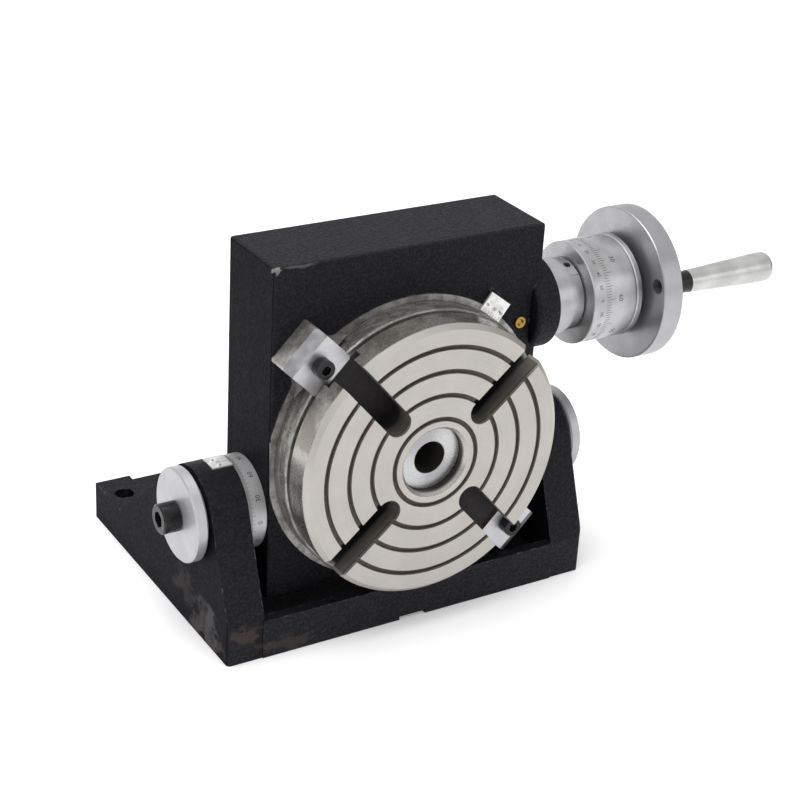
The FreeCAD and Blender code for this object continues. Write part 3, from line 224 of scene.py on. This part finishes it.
def table_iron():
    """The round table: turned face, grooves and slots darkened by painted shade and oil, painted shade on
    the recess wall, bore and flange groove, painted highlight lobes on the recess floor, stained scale
    ring, polished rim with painted reflection bands.
    """
    g = Graph("table_iron")
    edge_inner, edge_outer = 73.0 * MM, 73.6 * MM
    recess_inner, recess_outer = 19.8 * MM, 20.3 * MM
    bore_round = 9.0 * MM
    groove_front, groove_rear = -40.8 * MM, -38.1 * MM
    here, _, y, _ = g.position()
    radius, angle, along = g.turned_coordinates("y", TABLE_AXIS)
    stretched = g.vector(radius, g.math("MULTIPLY", angle, 0.0006), g.math("MULTIPLY", along, 0.2))
    rings = g.noise(stretched, 0.22 * MM, 2.0)
    cloud = g.noise(here, 20 * MM, 4.0, 0.6)
    face = (0.475, 0.452, 0.425)
    shade = g.mix(g.ramp(cloud, 0.35, 0.7), tuple(c * 0.93 for c in face), face)
    shade = g.mix(g.ramp(rings, 0.35, 0.7, 0.0, 0.30), shade, tuple(c * 0.8 for c in face))
    depth = g.math("SUBTRACT", y, FACE_Y)
    inside_rim = g.ramp(radius, edge_outer, edge_inner)
    outside_recess = g.ramp(radius, recess_inner, recess_outer)
    on_face = g.math("MULTIPLY", inside_rim, outside_recess)
    grime_and_shade_mottle = g.noise(here, 3 * MM, 4.0, 0.6)
    # Painted shade, partly dark oil: groove floors, slot walls and deep slot heads get darker colours,
    # darkest at the greatest depth.
    groove_floor = g.math("MULTIPLY", g.ramp(depth, 1.2 * MM, 1.9 * MM), on_face)
    shade = g.mix(groove_floor, shade, g.mix(grime_and_shade_mottle, (0.055, 0.045, 0.038), (0.14, 0.115, 0.098)))
    slot_wall = g.math("MULTIPLY", g.ramp(depth, 2.3 * MM, 3.2 * MM), on_face)
    shade = g.mix(slot_wall, shade, g.mix(grime_and_shade_mottle, (0.115, 0.100, 0.090), (0.21, 0.19, 0.175)))
    slot_deep = g.math("MULTIPLY", g.ramp(depth, 8.5 * MM, 12.5 * MM), on_face)
    shade = g.mix(slot_deep, shade, g.mix(grime_and_shade_mottle, (0.022, 0.020, 0.023), (0.050, 0.045, 0.047)))
    below = g.math("MAXIMUM", groove_floor, slot_deep)
    outside_bore = g.ramp(radius, bore_round + 0.2 * MM, bore_round + 0.5 * MM)
    recess = g.math("MULTIPLY", g.ramp(radius, recess_outer, recess_inner), outside_bore)
    # Painted highlight: the turned recess floor gets two opposite light lobes round the axis, a bow-tie
    # reflection set into its colour.
    highlight_lobes = g.math("SINE", g.math("ADD", g.math("MULTIPLY", angle, 2.0), 0.6))
    recess_painted_highlight = g.mix(g.ramp(highlight_lobes, -1.0, 1.0), (0.34, 0.34, 0.35), (0.50, 0.50, 0.50))
    shade = g.mix(g.math("MULTIPLY", recess, g.ramp(depth, 1.0 * MM, 2.0 * MM)), shade, recess_painted_highlight)
    # Painted shade: the recess wall is darkened in its colour, standing in for occlusion.
    recess_wall_shade = g.math("MULTIPLY", g.ramp(radius, 17.2 * MM, 17.85 * MM), recess)
    recess_wall_shade = g.math("MULTIPLY", recess_wall_shade, g.ramp(depth, 2.0 * MM, 3.4 * MM))
    shade = g.mix(recess_wall_shade, shade, (0.075, 0.062, 0.052))
    # Painted shade: the inside of the bore is coloured dark.
    bore_shade = g.ramp(radius, bore_round + 0.05 * MM, bore_round - 0.05 * MM)
    shade = g.mix(bore_shade, shade, (0.10, 0.095, 0.09))
    behind_groove = g.ramp(y, groove_rear - 0.3 * MM, groove_rear)
    ring = g.math("MULTIPLY", behind_groove, g.ramp(radius, 71.0 * MM, 72.0 * MM))
    patch = g.noise(g.vector(g.math("MULTIPLY", angle, 0.02), along, radius), 2.2 * MM, 5.0, 0.75)
    stained = g.mix(g.ramp(patch, 0.42, 0.66), (0.150, 0.142, 0.130), (0.40, 0.385, 0.36))
    shade = g.mix(g.math("MULTIPLY", ring, g.ramp(cloud, 0.2, 0.6, 0.65, 0.95)), shade, stained)
    # Painted shade: the narrow groove between the flange and the scale ring is coloured near black.
    behind_flange = g.ramp(y, groove_front - 0.2 * MM, groove_front + 0.2 * MM)
    flange_groove_shade = g.math("MULTIPLY", g.ramp(radius, 72.6 * MM, 72.2 * MM), behind_flange)
    flange_groove_shade = g.math("MULTIPLY", flange_groove_shade, g.ramp(radius, 70.0 * MM, 71.0 * MM))
    shade = g.mix(flange_groove_shade, shade, (0.05, 0.043, 0.038))
    on_flange = g.ramp(y, groove_front + 0.2 * MM, groove_front)
    rim = g.math("MULTIPLY", g.ramp(radius, 74.6 * MM, 74.9 * MM), on_flange)
    rough = g.ramp(g.noise(here, 1.2 * MM, 2.0), 0.3, 0.7, 0.40, 0.48)
    rough = g.math("ADD", rough, g.math("MULTIPLY", rim, -0.16))
    rough = g.math("ADD", rough, g.math("MULTIPLY", below, 0.2))
    rough = g.math("SUBTRACT", rough, g.math("MULTIPLY", recess, 0.14))
    # Painted reflection: dark bands round the polished rim stand in for the dark surroundings it reflects.
    across = g.vector(g.math("MULTIPLY", angle, 0.02), g.math("MULTIPLY", along, 0.25), 0.0)
    rim_reflection_bands = g.noise(across, 5 * MM, 3.0, 0.6)
    shade = g.mix(g.math("MULTIPLY", rim, g.ramp(rim_reflection_bands, 0.4, 0.6)), shade, (0.27, 0.25, 0.225))
    metal = g.math("SUBTRACT", 0.8, g.math("MULTIPLY", below, 0.3))
    return g.finish(shade, rough, metal, g.bump(rings, 0.006 * MM))


def black_oxide():
    """Blackened screws: dark satin with a slightly cleaner, worn edge."""
    g = Graph("black_oxide")
    here = g.position()[0]
    cloud = g.noise(here, 3 * MM, 4.0)
    turn = g.edge_turn(0.5 * MM, 4)
    shade = g.mix(cloud, (0.005, 0.005, 0.006), (0.009, 0.009, 0.010))
    shade = g.mix(g.ramp(turn, 0.99, 0.85, 0.0, 0.6), shade, (0.13, 0.13, 0.135))
    rough = g.ramp(cloud, 0.3, 0.7, 0.26, 0.30)
    return g.finish(shade, rough, 0.0, g.bump(g.noise(here, 0.4 * MM), 0.01 * MM), specular=0.28)


def stamped_plate():
    """Matt silver instrument plates, lightly scratched."""
    g = Graph("stamped_plate")
    here, x, y, z = g.position()
    lines = g.noise(g.vector(g.math("MULTIPLY", x, 0.15), y, z), 0.4 * MM, 2.0)
    cloud = g.noise(here, 4 * MM, 4.0)
    shade = g.mix(g.ramp(cloud, 0.3, 0.7), (0.62, 0.62, 0.61), (0.86, 0.86, 0.85))
    return g.finish(shade, g.ramp(lines, 0.3, 0.7, 0.34, 0.5), 0.75, g.bump(lines, 0.008 * MM))


def cast_lug():
    """Bare machined iron, greyer and rougher than the turned table."""
    g = Graph("bare_iron")
    here = g.position()[0]
    cloud = g.noise(here, 6 * MM, 5.0, 0.65)
    fine = g.noise(here, 0.6 * MM, 3.0)
    shade = g.mix(g.ramp(cloud, 0.3, 0.7), (0.20, 0.19, 0.175), (0.46, 0.45, 0.43))
    return g.finish(shade, g.ramp(fine, 0.3, 0.7, 0.42, 0.6), 0.9, g.bump(fine, 0.03 * MM))


def ink():
    """Black paint rubbed into engraved marks."""
    g = Graph("engraving_ink")
    here = g.position()[0]
    shade = g.mix(g.noise(here, 2 * MM), (0.012, 0.012, 0.013), (0.05, 0.048, 0.045))
    return g.finish(shade, 0.6, 0.0)


def tarnished(name, dark, bright, rough, size=3 * MM):
    """A plain machined piece with a mottled tarnish: bushes, balls, brass and the like."""
    g = Graph(name)
    here = g.position()[0]
    cloud = g.noise(here, size, 4.0, 0.6)
    shade = g.mix(g.ramp(cloud, 0.3, 0.7), dark, bright)
    roughness = g.ramp(cloud, 0.3, 0.7, rough, rough * 1.4)
    return g.finish(shade, roughness, 1.0, g.bump(g.noise(here, size * 0.15), 0.01 * MM))


PAINT = (0.0046, 0.0044, 0.0062)
STEEL = (0.50, 0.50, 0.51)
corner = Vector((BODY_LOW.x, -25.75 * MM, BODY_HIGH.z))
BODY_MARKS = [
    (corner + Vector((1, 0, -1)) * MM, (3.2 * MM, 3 * MM, 2.6 * MM), (0.24, 0.23, 0.22), 0.9),
    (corner + Vector((14, 0, -1)) * MM, (9 * MM, 1.2 * MM, 1.0 * MM), (0.11, 0.105, 0.10), 0.6),
]
base_corner = Vector((BASE_LOW.x, BASE_LOW.y, 0))
BASE_MARKS = [
    (base_corner + Vector((0, 26, 9)) * MM, (3 * MM, 17 * MM, 13 * MM), (0.082, 0.075, 0.076), 0.75),
    (base_corner + Vector((0, 52, 20)) * MM, (3 * MM, 14 * MM, 9 * MM), (0.044, 0.039, 0.037), 0.6),
    (base_corner + Vector((9, 0, 14)) * MM, (9 * MM, 3 * MM, 7 * MM), (0.075, 0.050, 0.038), 0.5),
    (base_corner + Vector((34, 0, 5)) * MM, (18 * MM, 3 * MM, 5 * MM), (0.055, 0.046, 0.038), 0.5),
]

body_paint = crinkle_paint("body_paint", PAINT, BODY_MARKS)
base_paint = crinkle_paint("base_paint", PAINT, BASE_MARKS)
iron = table_iron()
tilt_steel = brushed("tilt_steel", STEEL, 0.42, "x", TILT_AXIS, stain=0.05, metal=0.62)
worm_steel = brushed("worm_steel", STEEL, 0.33, "x", WORM_AXIS)
handwheel_steel = brushed(
    "handwheel_steel", (0.43, 0.43, 0.45), 0.38, "x", WORM_AXIS, 0.3 * MM, stain=0.05, metal=0.9,
)
grip_steel = brushed("grip_steel", (0.60, 0.60, 0.585), 0.34, "x", CRANK_AXIS, 0.2 * MM)
clamp_steel = tarnished("clamp_steel", (0.47, 0.47, 0.49), (0.56, 0.56, 0.58), 0.34, 8 * MM)
black_steel = black_oxide()
plate_metal = stamped_plate()
bare_iron = cast_lug()
ink_black = ink()
bronze = tarnished("bronze", (0.34, 0.21, 0.10), (0.55, 0.38, 0.20), 0.30)
brass = tarnished("brass", (0.30, 0.18, 0.045), (0.40, 0.25, 0.07), 0.30, 9 * MM)
ball_steel = tarnished("ball_steel", (0.5, 0.5, 0.5), (0.7, 0.7, 0.7), 0.12)

LOOKS = {
    base_paint: ["base_casting"],
    body_paint: ["rotary_body", "rear_cover"],
    iron: ["table_top"],
    tilt_steel: ["tilt_scale_trunnion", "plain_trunnion", "left_clamp_disc", "right_clamp_disc"],
    worm_steel: [
        "eccentric_sleeve", "index_ring", "graduated_dial", "dial_lock_ring", "worm_shaft",
        "handwheel_washer", "handwheel_nut", "handwheel_key", "spindle_nut",
    ],
    handwheel_steel: ["handwheel"],
    grip_steel: ["handle_grip"],
    clamp_steel: ["upper_clamp_plate", "lower_clamp_plate"],
    black_steel: [
        "left_tilt_clamp_bolt", "right_tilt_clamp_bolt", "upper_clamp_screw", "lower_clamp_screw",
        "left_trunnion_screws", "right_trunnion_screws", "rear_cover_screws", "sleeve_lock_screw",
        "index_ring_set_screw", "spindle_nut_set_screw", "worm_wheel_screws",
        "handle_snap_ring", "handle_stud",
    ],
    plate_metal: ["tilt_index_plate", "tilt_index_plate_rivets", "vernier_plate", "vernier_plate_rivets"],
    bronze: [
        "worm_wheel", "table_front_bush", "table_rear_bush",
        "worm_left_bush", "worm_middle_bush", "worm_outer_bush",
    ],
    brass: ["ball_oiler", "thrust_bearing_cage"],
    ball_steel: ["thrust_bearing_housing_washer", "thrust_bearing_shaft_washer", "thrust_bearing_balls"],
}


def assign_looks():
    """Gives every CAD node its material, in the node's own slots."""
    for material, nodes in LOOKS.items():
        for node in nodes:
            mesh = frame["nodes"][node].data
            mesh.materials.clear()
            mesh.materials.append(material)
    plain = sorted(n for n, o in frame["nodes"].items() if not o.data.materials)
    if plain:
        raise ValueError(f"nodes without a material: {plain}")


def bare_front(node, test, material):
    """Gives the faces of a CAD node that pass a test a second material."""
    mesh = frame["nodes"][node].data
    mesh.materials.append(material)
    index = len(mesh.materials) - 1
    for face in mesh.polygons:
        if test(face):
            face.material_index = index


def is_machined(face):
    """Faces of the body that stand proud of its painted front: the pad, its edge and the clamp lugs."""
    painted_front = -25.85 * MM
    lug_reach, pad_reach = 101 * MM, 79.6 * MM
    boss_left, boss_round = 62 * MM, 25.6 * MM
    vernier_left, vernier_low = 38 * MM, 150 * MM
    centre = face.center
    out = math.hypot(centre.x - TABLE_AXIS.x, centre.z - TABLE_AXIS.z)
    from_worm = math.hypot(centre.y - WORM_AXIS.y, centre.z - WORM_AXIS.z)
    if centre.y > painted_front or out > lug_reach:
        return False
    if centre.x > boss_left and from_worm < boss_round:
        return False
    return not (centre.x > vernier_left and centre.z > vernier_low and out > pad_reach)


# ---------------------------------------------------------------- engraved scales


def text_mesh(text, height):
    """Flat digits as a mesh in the XY plane, centred, `height` tall."""
    curve = bpy.data.curves.new("digits", "FONT")
    curve.body = text
    curve.size = height / 0.72
    curve.align_x = "CENTER"
    curve.align_y = "CENTER"
    curve.extrude = 0.5
    curve.resolution_u = 3
    holder = bpy.data.objects.new("digits", curve)
    mesh = bpy.data.meshes.new_from_object(holder)
    bpy.data.objects.remove(holder)
    vertices = [v.co.copy() for v in mesh.vertices]
    faces = [list(p.vertices) for p in mesh.polygons]
    bpy.data.meshes.remove(mesh)
    return vertices, faces


def bar(x, y, width, height):
    """A thin upright bar, as text_mesh gives its digits."""
    corners = [
        Vector((x + sx * width / 2, y + sy * height / 2, sz * 0.5))
        for sz in (-1, 1) for sx, sy in ((-1, -1), (1, -1), (1, 1), (-1, 1))
    ]
    sides = [[i, (i + 1) % 4, (i + 1) % 4 + 4, i + 4] for i in range(4)]
    return corners, [[3, 2, 1, 0], [4, 5, 6, 7], *sides]


def engraving(name, body, marks, place):
    """Joins marks into one piece.  `place` maps (x, y, depth -0.5..0.5) on the scale to the row frame."""
    vertices, faces = [], []
    for part_vertices, part_faces in marks:
        start = len(vertices)
        vertices.extend(place(v) for v in part_vertices)
        faces.extend([i + start for i in face] for face in part_faces)
    mesh = bpy.data.meshes.new(name)
    mesh.from_pydata(vertices, [], faces)
    mesh.validate()
    mesh.materials.append(ink_black)
    piece = bpy.data.objects.new(name, mesh)
    bpy.context.scene.collection.objects.link(piece)
    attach(piece, body)
    return piece


def moved(mark, x, y, turn=0.0):
    vertices, faces = mark
    rotation = Matrix.Rotation(turn, 3, "Z")
    return [rotation @ v + Vector((x, y, 0)) for v in vertices], faces


INK_OUT = 0.03 * MM
INK_IN = 0.22 * MM


def ink_depth(level):
    """Turns the mark's own -0.5..0.5 into a height over the surface."""
    return INK_OUT if level > 0 else -INK_IN


def ring_marks(count, lengths, width, edge, direction, radius):
    """Division lines round a cylinder: lengths = {every: length}, the largest `every` that fits wins."""
    marks = []
    for n in range(count):
        long = next(length for every, length in sorted(lengths.items(), reverse=True) if n % every == 0)
        around = 2 * math.pi * radius * n / count
        marks.append(bar(around, edge + direction * long / 2, width, long))
    return marks


def ring_numbers(labels, height, offset, radius, turn=0.0):
    """Numbers round a cylinder: labels = {share of a turn: text}."""
    return [
        moved(text_mesh(text, height), 2 * math.pi * radius * share, offset, turn)
        for share, text in labels.items()
    ]


def table_scale():
    """Degrees round the table's rear ring: ticks at its rear edge, numbers in front of them."""
    radius = (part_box("table_top")[1].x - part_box("table_top")[0].x) / 2
    rear = -26.8 * MM

    def place(v):
        around = v.x / radius + math.radians(52.7)
        out = radius + ink_depth(v.z)
        return (TABLE_AXIS.x + out * math.cos(around), rear - v.y, TABLE_AXIS.z + out * math.sin(around))

    marks = ring_marks(360, {1: 2.6 * MM, 5: 3.6 * MM, 10: 4.6 * MM}, 0.34 * MM, 0.0, 1, radius)
    labels = {n / 36: str(10 * n) for n in range(36)}
    marks += ring_numbers(labels, 2.7 * MM, 7.2 * MM, radius)
    return engraving("table_degree_scale", "table", marks, place)


def tilt_scale():
    """Tilt angles on the left disc: 90 under the index plate while the table's face is upright."""
    low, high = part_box("tilt_scale_trunnion")
    radius = (high.z - low.z) / 2
    outer = -88.05 * MM

    def place(v):
        around = math.pi / 2 + v.x / radius
        out = radius + ink_depth(v.z)
        return (outer + v.y, TILT_AXIS.y + out * math.cos(around), TILT_AXIS.z + out * math.sin(around))

    marks = []
    for degree in range(-40, 131):
        long = 3.4 * MM if degree % 10 == 0 else 2.6 * MM if degree % 5 == 0 else 1.8 * MM
        marks.append(bar(radius * math.radians(degree), long / 2, 0.15 * MM, long))
    for degree in range(-30, 121, 30):
        text = str(abs(90 - degree) if degree <= 90 else degree - 90)
        marks.append(moved(text_mesh(text, 2.6 * MM), radius * math.radians(degree), 6.0 * MM, math.pi))
    return engraving("tilt_angle_scale", "head", marks, place)


def dial_scale():
    """Minutes on the dial: one turn of the worm is four degrees, in two-minute divisions."""
    low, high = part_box("graduated_dial")
    radius = (high.z - low.z) / 2

    def place(v):
        around = math.radians(100) - v.x / radius
        out = radius + ink_depth(v.z)
        return (low.x + v.y, WORM_AXIS.y - out * math.cos(around), WORM_AXIS.z + out * math.sin(around))

    marks = ring_marks(120, {1: 3.0 * MM, 5: 4.4 * MM, 10: 5.6 * MM}, 0.22 * MM, 8.0 * MM, 1, radius)
    near = {n / 24: str(10 * n % 60) for n in range(24)}
    far = {n / 8: str(30 * n) for n in range(8)}
    marks += ring_numbers(near, 2.0 * MM, 5.0 * MM, radius)
    marks += ring_numbers(far, 2.8 * MM, 17.0 * MM, radius)
    return engraving("dial_minute_scale", "dial", marks, place)


def index_marks():
    """Zero lines on the index ring and on the two riveted plates."""
    low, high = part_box("index_ring")
    radius = (high.z - low.z) / 2

    def place_ring(v):
        around = math.radians(52) - v.x / radius
        out = radius + ink_depth(v.z)
        return (high.x - v.y, WORM_AXIS.y - out * math.cos(around), WORM_AXIS.z + out * math.sin(around))

    engraving("index_ring_zero", "sleeve", [bar(0, 2.4 * MM, 0.25 * MM, 4.6 * MM)], place_ring)

    low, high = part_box("tilt_index_plate")

    def place_plate(v):
        return (high.x - v.y, v.x, high.z + (INK_OUT if v.z > 0 else -INK_IN))

    marks = [bar(0, 2.2 * MM, 0.25 * MM, 4.2 * MM), moved(text_mesh("0", 2.0 * MM), 0, 5.8 * MM, math.pi)]
    engraving("tilt_index_mark", "base", marks, place_plate)

    middle_out = math.radians(52.7)
    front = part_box("vernier_plate")[0].y
    inner = 76.4 * MM

    def place_vernier(v):
        radial = inner + v.y
        out, turn = radial, middle_out - v.x / inner
        level = front - (INK_OUT if v.z > 0 else -INK_IN)
        return (TABLE_AXIS.x + out * math.cos(turn), level, TABLE_AXIS.z + out * math.sin(turn))

    marks = []
    for n in range(7):
        long = 2.8 * MM if n % 3 == 0 else 1.8 * MM
        marks.append(bar((n - 3) * 1.9 * MM, long / 2 + 0.1 * MM, 0.16 * MM, long))
    for n, text in enumerate(("0", "30", "60")):
        marks.append(moved(text_mesh(text, 1.7 * MM), (n - 1) * 5.2 * MM, 4.4 * MM))
    engraving("vernier_marks", "head", marks, place_vernier)


# ---------------------------------------------------------------- light, floor and camera


def make_floor():
    """A pale seamless sweep: flat under the object, rising far behind it."""
    width, near, far, rise, bend = 16.0, -9.0, 2.4, 3.0, 1.2
    steps = 16
    profile = [(near, 0.0), (far - bend, 0.0)]
    for n in range(1, steps + 1):
        turn = math.pi / 2 * n / steps
        profile.append((far - bend + bend * math.sin(turn), bend - bend * math.cos(turn)))
    profile.append((far, rise))
    vertices = [(x, y, z) for y, z in profile for x in (-width / 2, width / 2)]
    faces = [[2 * i, 2 * i + 1, 2 * i + 3, 2 * i + 2] for i in range(len(profile) - 1)]
    mesh = bpy.data.meshes.new("sweep")
    mesh.from_pydata(vertices, [], faces)
    for face in mesh.polygons:
        face.use_smooth = True
    g = Graph("sweep_paper")
    here = g.position()[0]
    shade = g.mix(g.noise(here, 400 * MM, 2.0), (0.93, 0.93, 0.935), (0.95, 0.95, 0.955))
    glow = {"Emission Color": (1.0, 1.0, 1.0), "Emission Strength": 0.16}
    mesh.materials.append(g.finish(shade, 0.85, 0.0, specular=0.1, **glow))
    floor = bpy.data.objects.new("sweep", mesh)
    bpy.context.scene.collection.objects.link(floor)
    floor.location.z = BASE_LOW.z - 0.2 * MM


def softbox(name, place, target, size, power, color=(1, 1, 1)):
    light = bpy.data.lights.new(name, "AREA")
    light.shape = "RECTANGLE"
    light.size, light.size_y = size
    light.energy = power
    light.color = color
    lamp = bpy.data.objects.new(name, light)
    bpy.context.scene.collection.objects.link(lamp)
    lamp.location = place
    lamp.rotation_mode = "QUATERNION"
    lamp.rotation_quaternion = (Vector(target) - Vector(place)).to_track_quat("-Z", "Y")


def make_light():
    world = bpy.data.worlds.new("studio")
    world.use_nodes = True
    nodes, links = world.node_tree.nodes, world.node_tree.links
    height = nodes.new("ShaderNodeSeparateXYZ")
    links.new(nodes.new("ShaderNodeTexCoord").outputs["Generated"], height.inputs[0])
    fade = nodes.new("ShaderNodeMapRange")
    fade.interpolation_type = "SMOOTHSTEP"
    for name, value in {"From Min": 0.05, "From Max": 0.75, "To Min": 0.22, "To Max": 0.78}.items():
        fade.inputs[name].default_value = value
    links.new(height.outputs["Z"], fade.inputs["Value"])
    background = nodes["Background"]
    background.inputs["Color"].default_value = (1.0, 1.0, 1.0, 1.0)
    links.new(fade.outputs[0], background.inputs["Strength"])
    bpy.context.scene.world = world
    aim = (0.0, 0.0, 0.10)
    softbox("overhead", (-0.2, 0.1, 1.6), aim, (1.6, 1.2), 19)
    softbox("left", (-1.5, -0.7, 0.9), aim, (1.0, 1.2), 5)
    softbox("front_right", (1.0, -1.6, 0.7), aim, (1.2, 1.0), 5)


def make_camera():
    """The camera of the picture: its direction, roll, distance and focal length."""
    yaw, pitch, roll = math.radians(-32.23), math.radians(25.88), math.radians(3.37)
    distance, target = 986.29 * MM, Vector((8.45, 0.0, 110.30)) * MM
    back = Vector((math.sin(yaw) * math.cos(pitch), -math.cos(yaw) * math.cos(pitch), math.sin(pitch)))
    right = (-back).cross(Vector((0, 0, 1))).normalized()
    up = right.cross(-back)
    rolled_right = right * math.cos(roll) + up * math.sin(roll)
    rolled_up = up * math.cos(roll) - right * math.sin(roll)
    data = bpy.data.cameras.new("camera")
    data.sensor_width = 36.0
    data.lens = 85.45
    data.clip_start, data.clip_end = 0.01, 20.0
    camera = bpy.data.objects.new("camera", data)
    bpy.context.scene.collection.objects.link(camera)
    turn = Matrix((rolled_right, rolled_up, back)).transposed().to_4x4()
    camera.matrix_world = Matrix.Translation(target + back * distance) @ turn
    bpy.context.scene.camera = camera


assign_looks()
bare_front("rotary_body", is_machined, bare_iron)
table_scale()
tilt_scale()
dial_scale()
index_marks()
make_floor()
make_light()
make_camera()
bpy.context.scene.view_settings.view_transform = "Standard"
